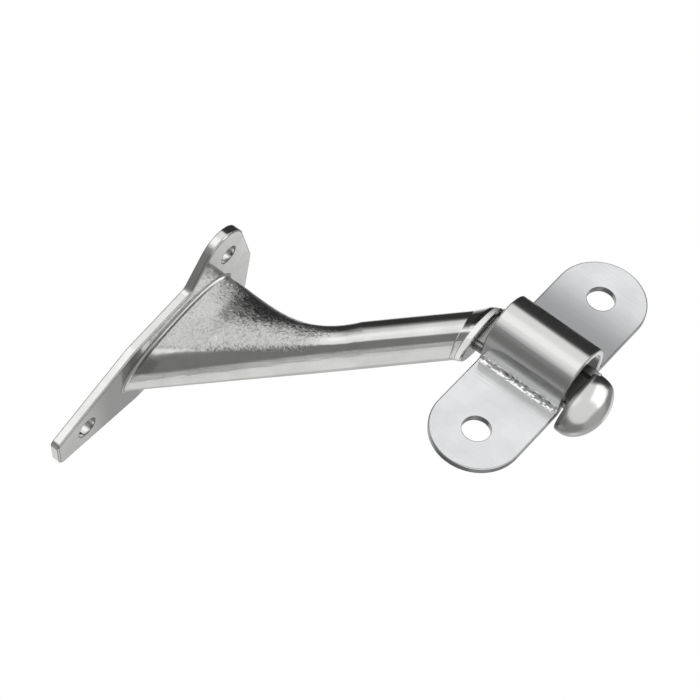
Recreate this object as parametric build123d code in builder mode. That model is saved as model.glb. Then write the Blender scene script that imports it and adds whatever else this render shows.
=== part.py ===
from build123d import *
from math import cos, radians, sin, tan
import os

os.makedirs("parts", exist_ok=True)

# The origin lies on the back of the wall plate, midway between the two upper screw holes.
# +Y leaves the wall, +Z is up and +X runs along the wall.

# wall plate: narrow tip at the bottom, two lobes at the top
plate_thickness = 2.0
plate_bottom = -53.15
tip_half_width = 3.6
waist_half_width = 9.2
waist_bottom = -29.55
waist_top = -11.75
lobe_x = 10.6
lobe_z = -1.35
lobe_radius = 6.3
tip_round = 1.2
shoulder_round = 8.0
lobe_root_round = 2.5
gable_slope = 11.0
plate_edge_bevel = 0.3

# screw holes of the wall plate
hole_row_gap = 44.7
lower_hole_diameter = 4.9
upper_hole_spacing = 18.4
upper_hole_diameter = 4.4

# arm: straight round bar rising from the plate
arm_radius = 4.85
arm_rise = 45.4
arm_root_z = -28.85

# horn: egg shaped foot on the plate that narrows into the round arm
horn_top = -0.05
horn_half_width = 5.7
horn_sink = 1.0
horn_widest_share = 0.57
horn_sections = 3
horn_blend_gap = 2.8
horn_blend_length = 5.5
horn_root_bevel = 0.6

# pocket cored out of the horn from the back
pocket_wall = 2.3
pocket_depth = 13.0
pocket_draft = 1.0

# neck and collar at the end of the arm; the neck starts on a plane that leans back
neck_back = 47.89
neck_lean = 9.5
ridge_y = 49.1
ridge_height = 14.35
ridge_half_width = 4.95
ridge_widest_share = 0.53
collar_front = 51.1
collar_height = 14.25
collar_half_width = 3.95
collar_top_spare = 0.7
collar_widest_share = 0.55
collar_edge_bevel = 0.35

# rail seat on a web, between the collar and the knob
seat_above_arm = 5.885
seat_half_width = 3.2
seat_thickness = 1.8
seat_corner = 1.2
web_half_width = 1.8
web_height = 9.2
web_round = 0.8
lug_length = 1.95
lug_depth = 0.95
lug_half_width = 1.35
lug_round = 1.0

# knob that closes the head
knob_base_length = 1.3
knob_half_width = 4.8
knob_half_height = 7.9
knob_half_length = 5.7
knob_drop = 6.5

# saddle strap: two eared ends and an arch that wraps the web
strap_width = 20.0
strap_thickness = 1.5
strap_length = 62.9
strap_hole_spacing = 43.6
strap_hole_diameter = 6.1
strap_edge_bevel = 0.2
arch_radius = 7.35
arch_rise = 3.5
bend_round = 0.8
gap_to_collar = 2.65
gap_to_knob = 1.05

# the strap turns about a line along the head; its arch leans up from the horizontal
swivel_drop = 4.05
arch_offset = 3.1
strap_lean = 9.1


def upright(y):
    return Plane(origin=(0, y, 0), x_dir=(1, 0, 0), z_dir=(0, -1, 0))


arm_along = (0, cos(radians(arm_rise)), sin(radians(arm_rise)))


def arm_point(y):
    return (0, y, arm_root_z + y * tan(radians(arm_rise)))


def across_arm(y):
    return Plane(origin=arm_point(y), x_dir=(1, 0, 0), z_dir=-Vector(arm_along))


def leaning(point, lean):
    outward = (0, -cos(radians(lean)), sin(radians(lean)))
    return Plane(origin=point, x_dir=(1, 0, 0), z_dir=outward)


def underside(y):
    return arm_point(y)[2] - arm_radius / cos(radians(arm_rise))


# places along the head
strap_middle_y = collar_front + gap_to_collar + strap_width / 2
knob_base = strap_middle_y + strap_width / 2 + gap_to_knob
knob_middle_y = knob_base + knob_base_length
seat_z = arm_point(collar_front)[2] + seat_above_arm
knob_middle_z = seat_z - knob_drop
swivel_z = seat_z - swivel_drop


def both_sides(half):
    return half + [(-x, z) for x, z in reversed(half) if x > 0]


def egg(plane, bottom, top, half_width, widest_share):
    # two half ellipses of one width that meet at the widest level
    widest = bottom + (top - bottom) * widest_share
    with BuildSketch(plane) as face:
        with BuildLine():
            EllipticalCenterArc((0, widest), half_width, widest - bottom, -90, arc_size=90)
            EllipticalCenterArc((0, widest), half_width, top - widest, 0, arc_size=90)
            mirror(about=Plane.YZ)
        make_face()
    return face.sketch


# wall plate
lobe_corner_x = lobe_x + lobe_radius * cos(radians(45))
lobe_corner_z = lobe_z - lobe_radius * sin(radians(45))
gable_x = lobe_x + lobe_radius * sin(radians(gable_slope))
gable_z = lobe_z + lobe_radius * cos(radians(gable_slope))
half_outline = [
    (tip_half_width, plate_bottom),
    (waist_half_width, waist_bottom),
    (waist_half_width, waist_top),
    (lobe_corner_x, lobe_corner_z),
    (gable_x, gable_z),
    (0, gable_z + gable_x * tan(radians(gable_slope))),
]

with BuildPart() as plate:
    with BuildSketch(upright(0)) as outline:
        with BuildLine():
            Polyline(*both_sides(half_outline), close=True)
        make_face()
        with Locations((lobe_x, lobe_z), (-lobe_x, lobe_z)):
            Circle(lobe_radius)
        tip = outline.vertices().filter_by(lambda v: abs(v.Y - plate_bottom) < 0.1)
        fillet(tip, radius=tip_round)
        shoulder = outline.vertices().filter_by(lambda v: abs(v.Y - waist_bottom) < 0.1)
        fillet(shoulder, radius=shoulder_round)
        lobe_root = outline.vertices().filter_by(lambda v: abs(v.Y - waist_top) < 0.1)
        fillet(lobe_root, radius=lobe_root_round)
    extrude(amount=-plate_thickness)
    front = plate.faces().sort_by(Axis.Y)[-1]
    chamfer(front.edges(), length=plate_edge_bevel)
    with BuildSketch(upright(0)):
        with Locations((0, -hole_row_gap)):
            Circle(lower_hole_diameter / 2)
        with GridLocations(upper_hole_spacing, 0, 2, 1):
            Circle(upper_hole_diameter / 2)
    extrude(amount=-plate_thickness, mode=Mode.SUBTRACT)

# horn: foot on the plate, sections with a level top, then two rings of the arm
arm_half_height = arm_radius / cos(radians(arm_rise))
corner_y = (horn_top - arm_root_z - arm_half_height) / tan(radians(arm_rise))
ring_y = corner_y + arm_radius * sin(radians(arm_rise))
ring_bottom_y = ring_y + arm_radius * sin(radians(arm_rise))
ring_start = ring_y + horn_blend_gap
ring_stop = ring_start + horn_blend_length


def horn_section(share):
    bottom_y = horn_sink + share * (ring_bottom_y - horn_sink)
    bottom = Vector(0, bottom_y, underside(bottom_y))
    top = Vector(0, horn_sink + share * (corner_y - horn_sink), horn_top)
    up = (top - bottom).normalized()
    plane = Plane(origin=bottom, x_dir=(1, 0, 0), z_dir=Vector(1, 0, 0).cross(up))
    half_width = horn_half_width + share * (arm_radius - horn_half_width)
    widest_share = horn_widest_share + share * (1 / 2 - horn_widest_share)
    return egg(plane, 0, (top - bottom).length, half_width, widest_share)


def arm_ring(y):
    return egg(across_arm(y), -arm_radius, arm_radius, arm_radius, 1 / 2)


with BuildPart() as horn:
    for step in range(horn_sections):
        add(horn_section(step / horn_sections))
    add(arm_ring(ring_start))
    add(arm_ring(ring_stop))
    loft()

# pocket in the horn, open at the wall side
pocket_half_width = horn_half_width - pocket_wall
pocket_top = horn_top - pocket_wall
pocket_rise = pocket_wall / cos(radians(arm_rise))
pocket_floor = underside(pocket_depth) + pocket_rise + pocket_draft
pocket_floor_half_width = pocket_half_width - pocket_draft

with BuildPart() as pocket:
    add(egg(upright(0), underside(0) + pocket_rise, pocket_top, pocket_half_width, horn_widest_share))
    add(
        egg(
            upright(pocket_depth),
            pocket_floor,
            pocket_top - pocket_draft,
            pocket_floor_half_width,
            horn_widest_share,
        )
    )
    loft(ruled=True)

# arm: round bar from the horn to the neck
neck_plane = leaning(arm_point(neck_back), -neck_lean)

with BuildPart() as arm:
    with BuildSketch(across_arm(ring_stop)):
        Circle(arm_radius)
    extrude(amount=(neck_back - ring_stop) * 2, dir=arm_along)
    split(bisect_by=neck_plane, keep=Keep.TOP)

# neck and collar: the neck swells from the arm to a ridge, the collar narrows to a bevelled rim
neck_half_height = arm_radius / cos(radians(arm_rise - neck_lean))
ridge_bottom = underside(ridge_y)
ridge_top = ridge_bottom + ridge_height


def collar_outline(y, inset):
    bottom = seat_z - collar_height + inset
    top = seat_z + collar_top_spare - inset
    return egg(upright(y), bottom, top, collar_half_width - inset, collar_widest_share)


with BuildPart() as collar:
    add(egg(neck_plane, -neck_half_height, neck_half_height, arm_radius, 1 / 2))
    add(egg(upright(ridge_y), ridge_bottom, ridge_top, ridge_half_width, ridge_widest_share))
    add(collar_outline(collar_front - collar_edge_bevel, 0))
    add(collar_outline(collar_front, collar_edge_bevel))
    loft(ruled=True)

# rail seat and web, tee shaped in section, from the collar into the knob
with BuildPart() as seat:
    with BuildSketch(upright(collar_front)) as tee:
        with Locations((0, seat_z)):
            Rectangle(seat_half_width * 2, seat_thickness, align=(Align.CENTER, Align.MAX))
            Rectangle(web_half_width * 2, web_height, align=(Align.CENTER, Align.MAX))
        below_seat = tee.vertices().filter_by(lambda v: v.Y < seat_z - seat_thickness / 2)
        web_corners = below_seat.filter_by(lambda v: abs(v.X) < web_half_width + web_round / 2)
        fillet(web_corners, radius=web_round)
    extrude(amount=collar_front - knob_middle_y)
    at_collar = seat.edges().filter_by(Axis.Z).filter_by(lambda e: e.center().Y < collar_front + seat_corner)
    chamfer(at_collar.filter_by(lambda e: abs(e.center().X) > web_half_width), length=seat_corner)
    with BuildSketch(upright(collar_front)) as lug:
        with Locations((0, seat_z - web_height + web_round)):
            Rectangle(lug_half_width * 2, lug_depth + web_round, align=(Align.CENTER, Align.MAX))
        fillet(lug.vertices().group_by(Axis.Y)[0], radius=lug_round)
    extrude(amount=-lug_length)

# knob: half an egg that ends at a flat base
with BuildPart() as knob:
    Sphere(1)
    scale(by=(knob_half_width, knob_half_length, knob_half_height))
    split(bisect_by=Plane.XZ.offset(knob_base_length), keep=Keep.BOTTOM)

# the whole casting
with BuildPart() as bracket:
    add(plate.part)
    add(horn.part)
    on_front = bracket.edges().filter_by(lambda e: abs(e.center().Y - plate_thickness) < horn_sink / 9)
    foot = on_front.filter_by(
        lambda e: abs(e.center().X) < horn_half_width and underside(0) < e.center().Z < horn_top
    )
    chamfer(foot, length=horn_root_bevel)
    add(arm.part)
    add(pocket.part, mode=Mode.SUBTRACT)
    add(collar.part)
    add(seat.part)
    with Locations((0, knob_middle_y, knob_middle_z)):
        add(knob.part)
    split(bisect_by=Plane(origin=(0, 0, seat_z), z_dir=(0, 0, -1)), keep=Keep.TOP)

# saddle strap: section of ears, bends and arch, drawn across the head
lean = radians(strap_lean)
arch_up = Vector(cos(lean), 0, sin(lean))
ear_along = Vector(sin(lean), 0, -cos(lean))
ear_level = Vector(0, strap_middle_y, swivel_z) + arch_up * (arch_offset - arch_rise)
section_plane = Plane(origin=ear_level, x_dir=ear_along, z_dir=(0, -1, 0))
face_plane = Plane(origin=ear_level, x_dir=ear_along, z_dir=arch_up)
slot_half_width = arch_radius - strap_thickness

bend_x = arch_radius + bend_round
bend_outer = bend_round + strap_thickness

with BuildPart() as strap:
    with BuildSketch(section_plane):
        with BuildLine():
            CenterArc((0, arch_rise), arch_radius, 0, 90)
            Line((arch_radius, arch_rise), (arch_radius, bend_round))
            CenterArc((bend_x, bend_round), bend_round, 180, 90)
            Line((bend_x, 0), (strap_length / 2, 0))
            Line((strap_length / 2, 0), (strap_length / 2, -strap_thickness))
            Line((strap_length / 2, -strap_thickness), (bend_x, -strap_thickness))
            CenterArc((bend_x, bend_round), bend_outer, 180, 90)
            Line((slot_half_width, bend_round), (slot_half_width, arch_rise))
            CenterArc((0, arch_rise), slot_half_width, 0, 90)
            mirror(about=Plane.YZ)
        make_face()
    extrude(amount=strap_width / 2, both=True)
    with BuildSketch(face_plane):
        SlotOverall(strap_length, strap_width)
    extrude(amount=strap_length, both=True, mode=Mode.INTERSECT)
    with BuildSketch(face_plane):
        with GridLocations(strap_hole_spacing, 0, 2, 1):
            Circle(strap_hole_diameter / 2)
    extrude(amount=strap_thickness * 2, both=True, mode=Mode.SUBTRACT)
    on_side = strap.edges().filter_by(
        lambda e: abs(abs(e.center().Y - strap_middle_y) - strap_width / 2) < strap_edge_bevel / 4
    )
    along_side = on_side.filter_by(lambda e: abs(e.length - strap_thickness) > strap_edge_bevel / 4)
    round_ends = strap.edges().filter_by(
        lambda e: e.geom_type == GeomType.CIRCLE and abs(e.radius - strap_width / 2) < strap_edge_bevel
    )
    chamfer(along_side + round_ends, length=strap_edge_bevel)

bracket.part.label = "bracket"
strap.part.label = "strap"
export_step(bracket.part, "parts/bracket.step")
export_step(strap.part, "parts/strap.step")
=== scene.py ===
import bpy
from math import cos, pi, radians, sin
from mathutils import Matrix, Vector

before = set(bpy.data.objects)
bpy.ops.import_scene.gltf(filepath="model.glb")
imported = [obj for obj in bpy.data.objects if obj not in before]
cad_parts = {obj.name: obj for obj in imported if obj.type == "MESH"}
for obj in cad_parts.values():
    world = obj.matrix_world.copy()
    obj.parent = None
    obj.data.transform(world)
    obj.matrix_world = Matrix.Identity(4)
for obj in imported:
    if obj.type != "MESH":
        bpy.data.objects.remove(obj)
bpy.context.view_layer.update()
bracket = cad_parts["bracket"]
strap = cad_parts["strap"]
mm = 0.001  # in Blender's metres


def hexToLinear(code):
    parts = [int(code[i:i + 2], 16) / 255 for i in (1, 3, 5)]
    return [c / 12.92 if c <= 0.04045 else ((c + 0.055) / 1.055) ** 2.4 for c in parts] + [1]


def addNode(tree, kind, settings=None, links=None):
    # a setting goes to the input of that name or number, or else to the node itself
    node = tree.nodes.new(kind)
    for name, value in (settings or {}).items():
        if isinstance(name, str) and hasattr(node, name):
            setattr(node, name, value)
    for name, value in (settings or {}).items():
        if not (isinstance(name, str) and hasattr(node, name)):
            node.inputs[name].default_value = value
    for name, source in (links or {}).items():
        tree.links.new(source, node.inputs[name])
    return node


def newMaterial(name):
    material = bpy.data.materials.new(name)
    material.use_nodes = True
    material.node_tree.nodes.clear()
    return material, material.node_tree


def dress(piece, material):
    # the finish goes on the object's own slots, the CAD mesh stays as it came
    for place in piece.material_slots:
        place.link = "OBJECT"
        place.material = material


# camera, where the photograph was taken from: beside the bracket and below it
cameraSetup = {
    "place": (0.5416, 0.20517, -0.22442),
    "right": (0.0124, 0.7803, 0.6253),
    "up": (0.4660, -0.5578, 0.6868),
    "lens": 154.3,
    "sensor": 36.0,
    "nearest": 0.01,
    "furthest": 50,
}


def placeCamera():
    data = bpy.data.cameras.new("camera")
    data.lens = cameraSetup["lens"]
    data.sensor_width = cameraSetup["sensor"]
    data.clip_start = cameraSetup["nearest"]
    data.clip_end = cameraSetup["furthest"]
    camera = bpy.data.objects.new("camera", data)
    bpy.context.scene.collection.objects.link(camera)
    rightWay = Vector(cameraSetup["right"]).normalized()
    backWay = rightWay.cross(Vector(cameraSetup["up"])).normalized()
    turned = Matrix((rightWay, backWay.cross(rightWay), backWay)).transposed()
    camera.matrix_world = Matrix.Translation(cameraSetup["place"]) @ turned.to_4x4()
    bpy.context.scene.camera = camera
    bpy.context.scene.view_settings.view_transform = "Standard"


placeCamera()
print("camera ready")

# studio: a white room, with a tent round the bracket that only the metal's reflections see
studio = {
    "white": 1.0,  # brightness of the room as camera and reflections see it
    "soft": 0.86,  # brightness of the room as light
    "cloth": 0.3,  # brightness of the tent between its panels
    "tentRadius": 20.0,
    # azimuth from +Y towards +X, elevation, inner angle, soft edge, brightness of the tent's cloth;
    # where that is the room's white there is an opening, through which the metal mirrors the room
    "panels": [
        (65, 10, 44, 18, 1.0),
        (108, 4, 10, 14, 1.25),
        (116, 42, 4, 10, 1.0),
        (-70, -3, 28, 32, 0.6),
        (-58, -25, 9, 10, 0.85),
        (120, -66, 12, 14, 0.22),
        (-145, -75, 8, 14, 0.42),
        (-3, 8, 22, 14, 0.52),
        (-125, 8, 22, 12, 1.0),
        (180, 0, 25, 15, 0.7),
        (186, 74, 32, 9, 0.04),
    ],
    "floor": "#FAFAF9",
    "floorRoughness": 0.9,
    "floorSize": 12.0,
    "floorHeight": -0.3,
    # place, size and brightness of the soft lamps; each points at the bracket
    "lamps": [
        ((0.9, 0.9, 1.3), 1.5, 0.9),
        ((-1.2, 0.7, 1.0), 0.8, 0.45),
    ],
}


def direction(azimuth, elevation):
    a, e = radians(azimuth), radians(elevation)
    return (cos(e) * sin(a), cos(e) * cos(a), sin(e))


def buildRoom():
    world = bpy.data.worlds.new("studio")
    bpy.context.scene.world = world
    world.use_nodes = True
    tree = world.node_tree
    tree.nodes.clear()
    light = addNode(tree, "ShaderNodeBackground", {"Color": (1, 1, 1, 1), "Strength": studio["soft"]})
    white = addNode(tree, "ShaderNodeBackground", {"Color": (1, 1, 1, 1), "Strength": studio["white"]})
    ray = addNode(tree, "ShaderNodeLightPath").outputs
    seen = ray["Is Camera Ray"]
    for kind in ("Is Transmission Ray", "Is Glossy Ray"):
        seen = addNode(tree, "ShaderNodeMath", {"operation": "MAXIMUM"}, {0: seen, 1: ray[kind]}).outputs[0]
    room = addNode(tree, "ShaderNodeMixShader", links={0: seen, 1: light.outputs[0], 2: white.outputs[0]})
    addNode(tree, "ShaderNodeOutputWorld", links={"Surface": room.outputs[0]})


def makeCloth():
    material, tree = newMaterial("tent_cloth_with_openings")  # gives the metal its bright and dark bands
    place = addNode(tree, "ShaderNodeTexCoord").outputs["Object"]
    way = addNode(tree, "ShaderNodeVectorMath", {"operation": "NORMALIZE"}, {0: place}).outputs[0]
    bright = opened = None
    for azimuth, elevation, inner, soft, value in studio["panels"]:
        towards = addNode(tree, "ShaderNodeVectorMath",
                          {"operation": "DOT_PRODUCT", 1: direction(azimuth, elevation)}, {0: way})
        angle = addNode(tree, "ShaderNodeMath", {"operation": "ARCCOSINE"}, {0: towards.outputs["Value"]})
        share = addNode(tree, "ShaderNodeMapRange",
                        {"interpolation_type": "SMOOTHSTEP", "From Min": radians(inner + soft),
                         "From Max": radians(inner)}, {"Value": angle.outputs[0]}).outputs[0]
        panel = addNode(tree, "ShaderNodeMix", {2: studio["cloth"], 3: value}, {0: share})
        gap = addNode(tree, "ShaderNodeMix", {2: 0.0, 3: float(value == studio["white"])}, {0: share})
        if bright is not None:
            tree.links.new(bright, panel.inputs[2])
            tree.links.new(opened, gap.inputs[2])
        bright, opened = panel.outputs[0], gap.outputs[0]
    glow = addNode(tree, "ShaderNodeEmission", links={"Strength": bright})
    clear = addNode(tree, "ShaderNodeBsdfTransparent")
    cloth = addNode(tree, "ShaderNodeMixShader", links={0: opened, 1: glow.outputs[0], 2: clear.outputs[0]})
    addNode(tree, "ShaderNodeOutputMaterial", links={"Surface": cloth.outputs[0]})
    return material


def pitchTent():
    bpy.ops.mesh.primitive_uv_sphere_add(segments=48, ring_count=24, radius=studio["tentRadius"])
    tent = bpy.context.object
    tent.name = "tent"
    tent.data.materials.append(makeCloth())
    tent.visible_camera = tent.visible_diffuse = tent.visible_transmission = False
    tent.visible_shadow = tent.visible_volume_scatter = False


def buildFloor():
    half, low = studio["floorSize"] / 2, studio["floorHeight"]
    mesh = bpy.data.meshes.new("floor")
    mesh.from_pydata([(-half, -half, low), (half, -half, low), (half, half, low), (-half, half, low)],
                     [], [(0, 1, 2, 3)])
    floor = bpy.data.objects.new("floor", mesh)
    bpy.context.scene.collection.objects.link(floor)
    material, tree = newMaterial("pale_paper_floor")  # matt paper: no highlight, only the soft shadow
    shader = addNode(tree, "ShaderNodeBsdfPrincipled",
                     {"Base Color": hexToLinear(studio["floor"]), "Roughness": studio["floorRoughness"]})
    addNode(tree, "ShaderNodeOutputMaterial", links={"Surface": shader.outputs[0]})
    mesh.materials.append(material)
    floor.visible_glossy = False  # the metal mirrors the tent behind it


def hangLamps():
    for number, (place, size, brightness) in enumerate(studio["lamps"]):
        data = bpy.data.lights.new("soft_lamp_%d" % number, "AREA")
        data.size = size
        data.energy = brightness * pi * size * size
        lamp = bpy.data.objects.new(data.name, data)
        lamp.location = place
        lamp.rotation_euler = Vector(place).to_track_quat("Z", "Y").to_euler()
        bpy.context.scene.collection.objects.link(lamp)


buildRoom()
pitchTent()
buildFloor()
hangLamps()
print("studio ready")


# what both finishes share

def mmPlace(tree):
    place = addNode(tree, "ShaderNodeTexCoord").outputs["Object"]
    return addNode(tree, "ShaderNodeVectorMath", {"operation": "SCALE", "Scale": 1 / mm},
                   {0: place}).outputs[0]


def softZone(tree, limits, within=None, profile="SMOOTHSTEP"):
    # each limit is a measure, where the zone starts on it and where the zone is full
    share = within
    for measure, begin, full in limits:
        part = addNode(tree, "ShaderNodeMapRange", {"interpolation_type": profile, "From Min": begin,
                       "From Max": full}, {"Value": measure}).outputs[0]
        share = part if share is None else addNode(tree, "ShaderNodeMath", {"operation": "MULTIPLY"},
                                                   {0: share, 1: part}).outputs[0]
    return share


# where the painted dark reflection along each edge goes
def edgeReflectionShare(tree, rounded):
    # the rounding turns the surface most along an edge; these are cosines of that turn
    begin, full, most = 0.995, 0.95, 0.85
    flat = addNode(tree, "ShaderNodeNewGeometry").outputs["Normal"]
    turn = addNode(tree, "ShaderNodeVectorMath", {"operation": "DOT_PRODUCT"},
                   {0: rounded, 1: flat}).outputs["Value"]
    return addNode(tree, "ShaderNodeMapRange", {"interpolation_type": "SMOOTHSTEP", "From Min": begin,
                   "From Max": full, "To Max": most}, {"Value": turn}).outputs[0]


def slowTones(tree, place, finish):
    low, high = 0.35, 0.65  # most of the noise lies between these
    patch = addNode(tree, "ShaderNodeTexNoise", {"Scale": 1 / finish["patch"], "Detail": 4.0},
                    {"Vector": place}).outputs["Fac"]
    tone = addNode(tree, "ShaderNodeMapRange", {"From Min": low, "From Max": high},
                   {"Value": patch}).outputs[0]
    return addNode(tree, "ShaderNodeMix", {"data_type": "RGBA", 6: hexToLinear(finish["colour"]),
                   7: hexToLinear(finish["shade"])}, {0: tone}).outputs[2]


def fineLines(tree, along, finish, normal):
    # lines of polishing or drawing run along Y; they roughen the surface and change its gloss
    drawn = addNode(tree, "ShaderNodeVectorMath", {"operation": "MULTIPLY",
                    1: (1.0, finish["streak"] / finish["streakLength"], 1.0)}, {0: along}).outputs[0]
    lines = addNode(tree, "ShaderNodeTexNoise", {"Scale": 1 / finish["streak"], "Detail": 2.0},
                    {"Vector": drawn}).outputs["Fac"]
    lined = addNode(tree, "ShaderNodeBump", {"Distance": finish["streakDepth"] * mm, "Strength": 1.0},
                    {"Height": lines, "Normal": normal}).outputs[0]
    low, high = 0.3, 0.7  # most of the noise lies between these
    glossy, dull = finish["roughness"]
    gloss = addNode(tree, "ShaderNodeMapRange", {"From Min": low, "From Max": high, "To Min": glossy,
                    "To Max": dull}, {"Value": lines}).outputs[0]
    return lined, gloss


def tiltCells(tree, place, size, share, tilt, normal, middle=(0.5, 0.5, 0.5)):
    # each small cell of the surface leans its own way
    cells = addNode(tree, "ShaderNodeTexVoronoi", {"Scale": 1 / size}, {"Vector": place}).outputs["Color"]
    cells = addNode(tree, "ShaderNodeVectorMath", {"operation": "SUBTRACT", 1: middle},
                    {0: cells}).outputs[0]
    cells = addNode(tree, "ShaderNodeVectorMath", {"operation": "SCALE"},
                    {0: cells, "Scale": share}).outputs[0]
    tilted = addNode(tree, "ShaderNodeVectorMath", {"operation": "MULTIPLY_ADD", 1: (tilt, tilt, tilt)},
                     {0: cells, 2: normal}).outputs[0]
    return addNode(tree, "ShaderNodeVectorMath", {"operation": "NORMALIZE"}, {0: tilted}).outputs[0]


def tintZones(tree, colour, zones):
    for share, code in zones:
        colour = addNode(tree, "ShaderNodeMix", {"data_type": "RGBA", 7: hexToLinear(code)},
                         {0: share, 6: colour}).outputs[2]
    return colour


def glossZones(tree, gloss, zones):
    for share, roughness in zones:
        gloss = addNode(tree, "ShaderNodeMix", {3: roughness}, {0: share, 2: gloss}).outputs[0]
    return gloss


def metalSurface(tree, colour, gloss, normal):
    shader = addNode(tree, "ShaderNodeBsdfPrincipled", {"Metallic": 1.0},
                     {"Base Color": colour, "Roughness": gloss, "Normal": normal})
    addNode(tree, "ShaderNodeOutputMaterial", links={"Surface": shader.outputs[0]})


# casting: zinc alloy, polished and nickel plated, so it mirrors softly, with the mould's pebbled skin left
# on the horn's sides; a pair says where a zone starts and where it is full, a direction is for the +X side
casting = {
    "colour": "#E2E2E0",
    "shade": "#D7D7D5",
    "roughness": (0.1, 0.17),
    "patch": 6.0,  # mm, size of the slow changes of tone
    "streak": 0.4,  # mm between polishing lines; finer in fact, drawn so that they show
    "streakLength": 14.0,
    "streakDepth": 0.009,
    "edge": 0.35,  # mm, radius that the polishing gives each edge
    "paintedEdgeReflection": "#3C3C3B",  # painted dark reflection along each edge
    "armRise": 45.4,  # degrees
    "armRoot": -28.85,  # mm, height at which the arm's middle line meets the wall
    # the two flats under horn, arm and neck: the way each faces, and how far down the surface looks there
    "sideFlat": ((0.7232, 0.0225, -0.6903), (0.18, 0.42)),
    "lowFlat": ((0.1, 0.70, -0.70), (0.57, 0.66)),
    "flatStart": (2.1, 2.4),  # mm from the wall, just past the plate's front
    "crown": 0.4,  # how far the rolled top edge of the horn leans its sides upwards
    "crownHeight": (3.0, 7.5),  # mm above the arm's middle line
    "crownStart": (5.5, 9.5),  # mm from the wall
    "crownEnd": (30.0, 20.0),
    "grain": 0.55,  # mm, pebbled skin of the mould on the horn's sides
    "grainDepth": 0.2,
    "grainTilt": 0.26,
    "grainShade": "#C4C4C3",
    "grainRoughness": 0.27,
    "grainSlope": 0.17,  # mm by which the skin's lower edge falls with each mm from the wall
    "grainEdge": (1.4, 2.2),  # mm above the arm's middle line
    "grainStart": (2.0, 3.0),  # mm from the wall
    "grainEnd": (30.0, 24.0),
    "grainTop": (-0.75, -0.45),  # how far down the surface looks, so the top edge stays smooth
    "neckFoot": 47.9,  # mm from the wall, on the arm's middle line
    "neckLean": 9.5,  # degrees
    "neckRidge": 49.75,  # mm from the wall
    "neckRim": 50.7,
    "neckStep": 0.1,  # mm, half the width over which one form of the neck gives way to the next
    "neckHold": 0.8,  # how much of each form shows
    "neckLift": 0.5,  # how far the neck's round leans upwards
    "neckFlat": (0.988, -0.011, -0.151),
    "neckFacing": (0.8, 0.6),  # how far a surface faces away from the wall; the collar's front stays
    "dull": "#9C9C9A",  # painted shade between the collar and the knob, under the strap, where the surface is also rougher
    "dullRoughness": 0.3,
    "dullFrom": (51.0, 51.1),  # mm from the wall
    "knobFrom": (75.5, 75.9),
    # painted shade: the knob is darker than the rest of the casting, standing in for its darker reflections
    "knobPaintedShade": "#CECECD",
    "knobRoughness": 0.18,
    "foot": "#ABABAA",  # painted shade on the plate just below the horn
    "footFront": (2.3, 2.1),  # mm from the wall
    "footFacing": (0.7, 0.9),
    "footLow": (-47.0, -37.0),  # mm, heights
    "footHigh": (-27.0, -30.0),
}
rise = radians(casting["armRise"])
armAlong = Vector((0, cos(rise), sin(rise)))
armUp = Vector((0, -sin(rise), cos(rise)))


def mirrored(tree, parts, way):
    # a direction for the +X side, mirrored on the other
    side = addNode(tree, "ShaderNodeMath", {"operation": "SIGN"}, {0: parts["X"]}).outputs[0]
    return addNode(tree, "ShaderNodeVectorMath", {"operation": "MULTIPLY_ADD", 1: (way[0], 0, 0),
                   2: (0, way[1], way[2])}, {0: side}).outputs[0]


def lookingDown(tree, normal):
    # how far a surface looks down, square to the arm
    return addNode(tree, "ShaderNodeVectorMath", {"operation": "DOT_PRODUCT", 1: -armUp},
                   {0: normal}).outputs["Value"]


def aboveArm(tree, place):
    # mm above the arm's middle line, square to it
    above = addNode(tree, "ShaderNodeVectorMath", {"operation": "DOT_PRODUCT", 1: armUp},
                    {0: place}).outputs["Value"]
    return addNode(tree, "ShaderNodeMath", {"operation": "SUBTRACT", 1: casting["armRoot"] * cos(rise)},
                   {0: above}).outputs[0]


def pastNeckFoot(tree, place):
    # mm past the leaning plane in which the neck starts
    foot, tilt = casting["neckFoot"], radians(casting["neckLean"])
    middle = foot * sin(rise) / cos(rise) + casting["armRoot"]
    start = foot * cos(tilt) + middle * sin(tilt)
    way = (0, cos(tilt), sin(tilt))
    ahead = addNode(tree, "ShaderNodeVectorMath", {"operation": "DOT_PRODUCT", 1: way},
                    {0: place}).outputs["Value"]
    return addNode(tree, "ShaderNodeMath", {"operation": "SUBTRACT", 1: start}, {0: ahead}).outputs[0]


def layFlats(tree, parts, down, normal, zone):
    # two shallow flats run along the underside: a side one and a bottom one
    for way, limits in (casting["sideFlat"], casting["lowFlat"]):
        share = softZone(tree, [(down, *limits)])
        share = addNode(tree, "ShaderNodeMath", {"operation": "MULTIPLY"}, {0: share, 1: zone}).outputs[0]
        normal = addNode(tree, "ShaderNodeMix", {"data_type": "VECTOR"},
                         {0: share, 4: normal, 5: mirrored(tree, parts, way)}).outputs[1]
    return normal


def crownHorn(tree, parts, height, normal):
    # the polished top edge rolls over softly, so the sides below it lean up a little
    share = softZone(tree, [(height, *casting["crownHeight"]), (parts["Y"], *casting["crownStart"]),
                            (parts["Y"], *casting["crownEnd"])])
    lean = addNode(tree, "ShaderNodeVectorMath", {"operation": "SCALE", 0: armUp * casting["crown"]},
                   {"Scale": share}).outputs[0]
    return addNode(tree, "ShaderNodeVectorMath", {"operation": "ADD"}, {0: normal, 1: lean}).outputs[0]


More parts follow.
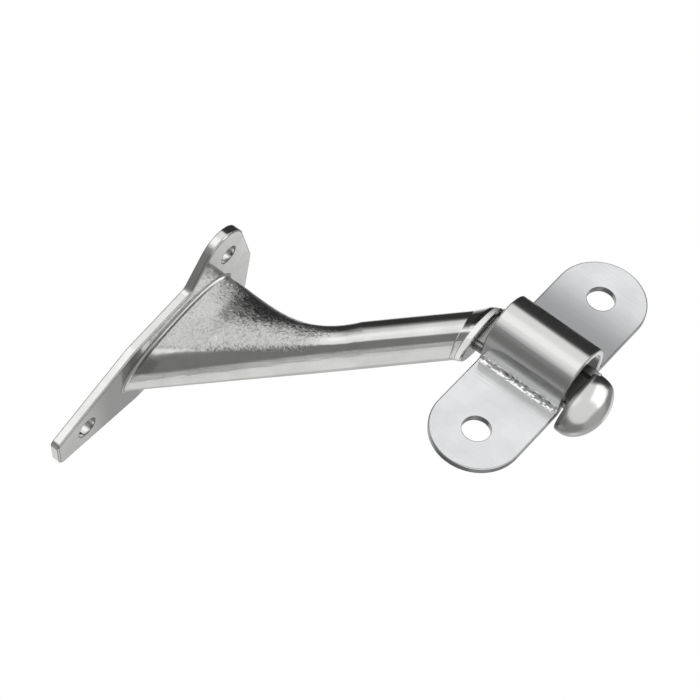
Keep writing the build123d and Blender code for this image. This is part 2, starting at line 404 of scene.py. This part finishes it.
def roundOfArm(tree, place, parts, pastFoot):
    # the arm's round and its two flats, carried on over the neck
    root = (0, 0, casting["armRoot"])
    fromRoot = addNode(tree, "ShaderNodeVectorMath", {"operation": "SUBTRACT", 1: root},
                       {0: place}).outputs[0]
    onLine = addNode(tree, "ShaderNodeVectorMath", {"operation": "PROJECT", 1: armAlong},
                     {0: fromRoot}).outputs[0]
    radial = addNode(tree, "ShaderNodeVectorMath", {"operation": "SUBTRACT"},
                     {0: fromRoot, 1: onLine}).outputs[0]
    radial = addNode(tree, "ShaderNodeVectorMath", {"operation": "NORMALIZE"}, {0: radial}).outputs[0]
    lifted = addNode(tree, "ShaderNodeVectorMath", {"operation": "ADD", 1: armUp * casting["neckLift"]},
                     {0: radial}).outputs[0]
    step = casting["neckStep"]
    onNeck = softZone(tree, [(pastFoot, -step, step)], profile="LINEAR")
    return layFlats(tree, parts, lookingDown(tree, radial), lifted, onNeck)


def faceNeck(tree, place, parts, pastFoot, normal):
    # the neck is round from its foot to the ridge, then one flat runs to the rim
    step, rim = casting["neckStep"], casting["neckRim"]
    facing = addNode(tree, "ShaderNodeSeparateXYZ", links={0: normal}).outputs["Y"]
    allowed = softZone(tree, [(facing, *casting["neckFacing"]), (parts["Y"], rim + step, rim)],
                       profile="LINEAR")
    allowed = addNode(tree, "ShaderNodeMath", {"operation": "MULTIPLY", 1: casting["neckHold"]},
                      {0: allowed}).outputs[0]
    arm = roundOfArm(tree, place, parts, pastFoot)
    flat = mirrored(tree, parts, casting["neckFlat"])
    for way, measure, begin in ((arm, pastFoot, 0.0), (flat, parts["Y"], casting["neckRidge"])):
        share = softZone(tree, [(measure, begin - step, begin + step)], allowed, "LINEAR")
        normal = addNode(tree, "ShaderNodeMix", {"data_type": "VECTOR"},
                         {0: share, 4: normal, 5: way}).outputs[1]
    return normal


def skinZone(tree, parts, height, down):
    # the horn's sides, between its smooth top edge and the flats below
    lifted = addNode(tree, "ShaderNodeMath", {"operation": "MULTIPLY_ADD", 1: casting["grainSlope"]},
                     {0: parts["Y"], 2: height}).outputs[0]
    return softZone(tree, [(lifted, *casting["grainEdge"]), (parts["Y"], *casting["grainEnd"]),
                           (down, *casting["grainTop"]), (parts["Y"], *casting["grainStart"])])


def pebbleSkin(tree, place, zone, normal):
    grain = addNode(tree, "ShaderNodeTexNoise", {"Scale": 1 / casting["grain"], "Detail": 3.0,
                    "Roughness": 0.6}, {"Vector": place}).outputs["Fac"]
    rough = addNode(tree, "ShaderNodeBump", {"Distance": casting["grainDepth"] * mm},
                    {"Strength": zone, "Height": grain, "Normal": normal}).outputs[0]
    return tiltCells(tree, place, casting["grain"], zone, casting["grainTilt"], rough)


def makeCasting():
    material, tree = newMaterial("satin_nickel_on_zinc_casting")
    place = mmPlace(tree)
    parts = addNode(tree, "ShaderNodeSeparateXYZ", links={0: place}).outputs
    height, pastFoot = aboveArm(tree, place), pastNeckFoot(tree, place)

    # forms, worked out in the bracket's own directions
    rounded = addNode(tree, "ShaderNodeBevel", {"samples": 6, "Radius": casting["edge"] * mm}).outputs[0]
    own = addNode(tree, "ShaderNodeVectorTransform", {"vector_type": "NORMAL", "convert_from": "WORLD",
                  "convert_to": "OBJECT"}, {0: rounded}).outputs[0]
    down, step = lookingDown(tree, own), casting["neckStep"]
    beforeNeck = softZone(tree, [(pastFoot, step, -step), (parts["Y"], *casting["flatStart"])],
                          profile="LINEAR")
    own = layFlats(tree, parts, down, own, beforeNeck)
    own = faceNeck(tree, place, parts, pastFoot, crownHorn(tree, parts, height, own))
    normal = addNode(tree, "ShaderNodeVectorTransform", {"vector_type": "NORMAL", "convert_from": "OBJECT",
                     "convert_to": "WORLD"}, {0: own}).outputs[0]
    normal = addNode(tree, "ShaderNodeVectorMath", {"operation": "NORMALIZE"}, {0: normal}).outputs[0]

    # pebbled skin, then fine lines from polishing, drawn out along the arm
    skin = skinZone(tree, parts, height, down)
    pebbled = pebbleSkin(tree, place, skin, normal)
    alongArm = addNode(tree, "ShaderNodeVectorRotate", {"rotation_type": "X_AXIS", "Angle": -rise},
                       {"Vector": place}).outputs[0]
    lined, gloss = fineLines(tree, alongArm, casting, pebbled)

    # tones, painted shade below the horn, on the knob and under the strap, painted dark edges, and gloss by
    # place
    facing = addNode(tree, "ShaderNodeSeparateXYZ", links={0: own}).outputs["Y"]
    foot = softZone(tree, [(parts["Y"], *casting["footFront"]), (facing, *casting["footFacing"])],
                    profile="LINEAR")
    foot = softZone(tree, [(parts["Z"], *casting["footLow"]), (parts["Z"], *casting["footHigh"])], foot)
    knob = softZone(tree, [(parts["Y"], *casting["knobFrom"])], profile="LINEAR")
    behind = softZone(tree, [(parts["Y"], *casting["dullFrom"])], profile="LINEAR")
    behind = addNode(tree, "ShaderNodeMath", {"operation": "SUBTRACT"}, {0: behind, 1: knob}).outputs[0]
    colour = tintZones(tree, slowTones(tree, place, casting), [
        (skin, casting["grainShade"]), (foot, casting["foot"]), (knob, casting["knobPaintedShade"]),
        (behind, casting["dull"]), (edgeReflectionShare(tree, rounded), casting["paintedEdgeReflection"])])
    gloss = glossZones(tree, gloss, [(skin, casting["grainRoughness"]), (knob, casting["knobRoughness"]),
                                     (behind, casting["dullRoughness"])])
    metalSurface(tree, colour, gloss, lined)
    return material


# saddle strap: mild steel, stamped, bent and nickel plated; flat and bright, with lines along the arch
# "down" runs from the arch's middle to the lower ear, "out" rises from the ears' outer face, both in mm
stamping = {
    "colour": "#E6E7E8",
    "shade": "#DCDDDE",
    "roughness": (0.12, 0.2),
    "patch": 7.0,
    "streak": 0.35,  # mm between drawing lines, coarser than real so that they show
    "streakLength": 18.0,
    "streakDepth": 0.014,
    "edge": 0.25,
    # painted dark reflection along each edge
    "paintedEdgeReflection": "#484848",
    "lean": 9.1,  # degrees
    "zero": (24.49, -3.52),  # mm added to a point's way down and out, so that both start as said above
    "outerFace": (-0.4, -0.2),  # out
    "arch": "#D6D6D5",
    "archRoughness": 0.18,
    "archRise": (1.0, 2.0),  # out
    "root": "#9E9FA0",  # painted shade on the upper ear where it meets the arch, standing in for the arch's reflection
    "rootFade": (-26.0, -12.0),  # down
    "rootEnd": (-5.0, -6.5),
    "rootRise": (1.6, 0.8),  # out
    "wall": "#858585",  # sheared edge of the sheet, duller than its faces
    "wallFacing": (0.35, 0.2),
    "wallRise": (0.6, 0.2),  # out
    # painted highlight along the rough inner corner of the lower bend
    "scarHighlight": "#FFFFFF",
    "scarAt": 7.6,  # down
    "scarWidth": 1.3,
    "scarSoft": 0.25,
    "scarRise": (1.4, 1.0),  # out
    "scarGrain": 0.55,  # mm, drawn as coarse as it is seen
    "scarTilt": 0.75,
    "scarMiddle": (0.5, 0.5, 0.6),  # the torn metal leans down a little
}
lean = radians(stamping["lean"])
strapDown = Vector((sin(lean), 0, -cos(lean)))
strapOut = Vector((cos(lean), 0, sin(lean)))


def strapPlace(tree, place):
    measures = []
    for way, zero in zip((strapDown, strapOut), stamping["zero"]):
        far = addNode(tree, "ShaderNodeVectorMath", {"operation": "DOT_PRODUCT", 1: way},
                      {0: place}).outputs["Value"]
        measures.append(addNode(tree, "ShaderNodeMath", {"operation": "ADD", 1: zero}, {0: far}).outputs[0])
    return measures


def scarZone(tree, place, down, out):
    # the lower bend's inner corner is rough and torn; its brightness is a painted highlight
    ragged = addNode(tree, "ShaderNodeTexNoise", {"Scale": 1 / stamping["scarGrain"], "Detail": 3.0,
                     "Roughness": 0.65}, {"Vector": place}).outputs["Fac"]
    half, soft, noiseMiddle = stamping["scarWidth"] / 2, stamping["scarSoft"], 0.5
    away = addNode(tree, "ShaderNodeMath", {"operation": "SUBTRACT", 1: stamping["scarAt"] + noiseMiddle},
                   {0: down}).outputs[0]
    away = addNode(tree, "ShaderNodeMath", {"operation": "ADD"}, {0: away, 1: ragged}).outputs[0]
    away = addNode(tree, "ShaderNodeMath", {"operation": "ABSOLUTE"}, {0: away}).outputs[0]
    scarHighlight = softZone(tree, [(away, half + soft, half - soft)])
    return softZone(tree, [(out, *stamping["scarRise"]), (out, *stamping["outerFace"])], scarHighlight, "LINEAR")


def wallZone(tree, out):
    # the sheet's cut edge, in the ears and their holes
    normal = addNode(tree, "ShaderNodeNewGeometry").outputs["Normal"]
    own = addNode(tree, "ShaderNodeVectorTransform", {"vector_type": "NORMAL", "convert_from": "WORLD",
                  "convert_to": "OBJECT"}, {0: normal}).outputs[0]
    facing = addNode(tree, "ShaderNodeVectorMath", {"operation": "DOT_PRODUCT", 1: strapOut},
                     {0: own}).outputs["Value"]
    facing = addNode(tree, "ShaderNodeMath", {"operation": "ABSOLUTE"}, {0: facing}).outputs[0]
    return softZone(tree, [(facing, *stamping["wallFacing"]), (out, *stamping["wallRise"])],
                    profile="LINEAR")


def makeStamping():
    material, tree = newMaterial("bright_nickel_on_stamped_steel")
    place = mmPlace(tree)
    down, out = strapPlace(tree, place)
    rounded = addNode(tree, "ShaderNodeBevel", {"samples": 6, "Radius": stamping["edge"] * mm}).outputs[0]
    lined, gloss = fineLines(tree, place, stamping, rounded)
    scarHighlight = scarZone(tree, place, down, out)
    torn = tiltCells(tree, place, stamping["scarGrain"], scarHighlight, stamping["scarTilt"], lined,
                     stamping["scarMiddle"])
    root = softZone(tree, [(down, *stamping["rootFade"]), (down, *stamping["rootEnd"]),
                           (out, *stamping["rootRise"]), (out, *stamping["outerFace"])])
    arch = softZone(tree, [(out, *stamping["archRise"])])
    # painted shade at the ear's root, painted highlight on the scar and painted dark edges go into the
    # tones
    colour = tintZones(tree, slowTones(tree, place, stamping), [
        (root, stamping["root"]), (wallZone(tree, out), stamping["wall"]), (arch, stamping["arch"]),
        (scarHighlight, stamping["scarHighlight"]), (edgeReflectionShare(tree, rounded), stamping["paintedEdgeReflection"])])
    gloss = glossZones(tree, gloss, [(arch, stamping["archRoughness"])])
    metalSurface(tree, colour, gloss, torn)
    return material


dress(bracket, makeCasting())
dress(strap, makeStamping())
print("finishes ready")
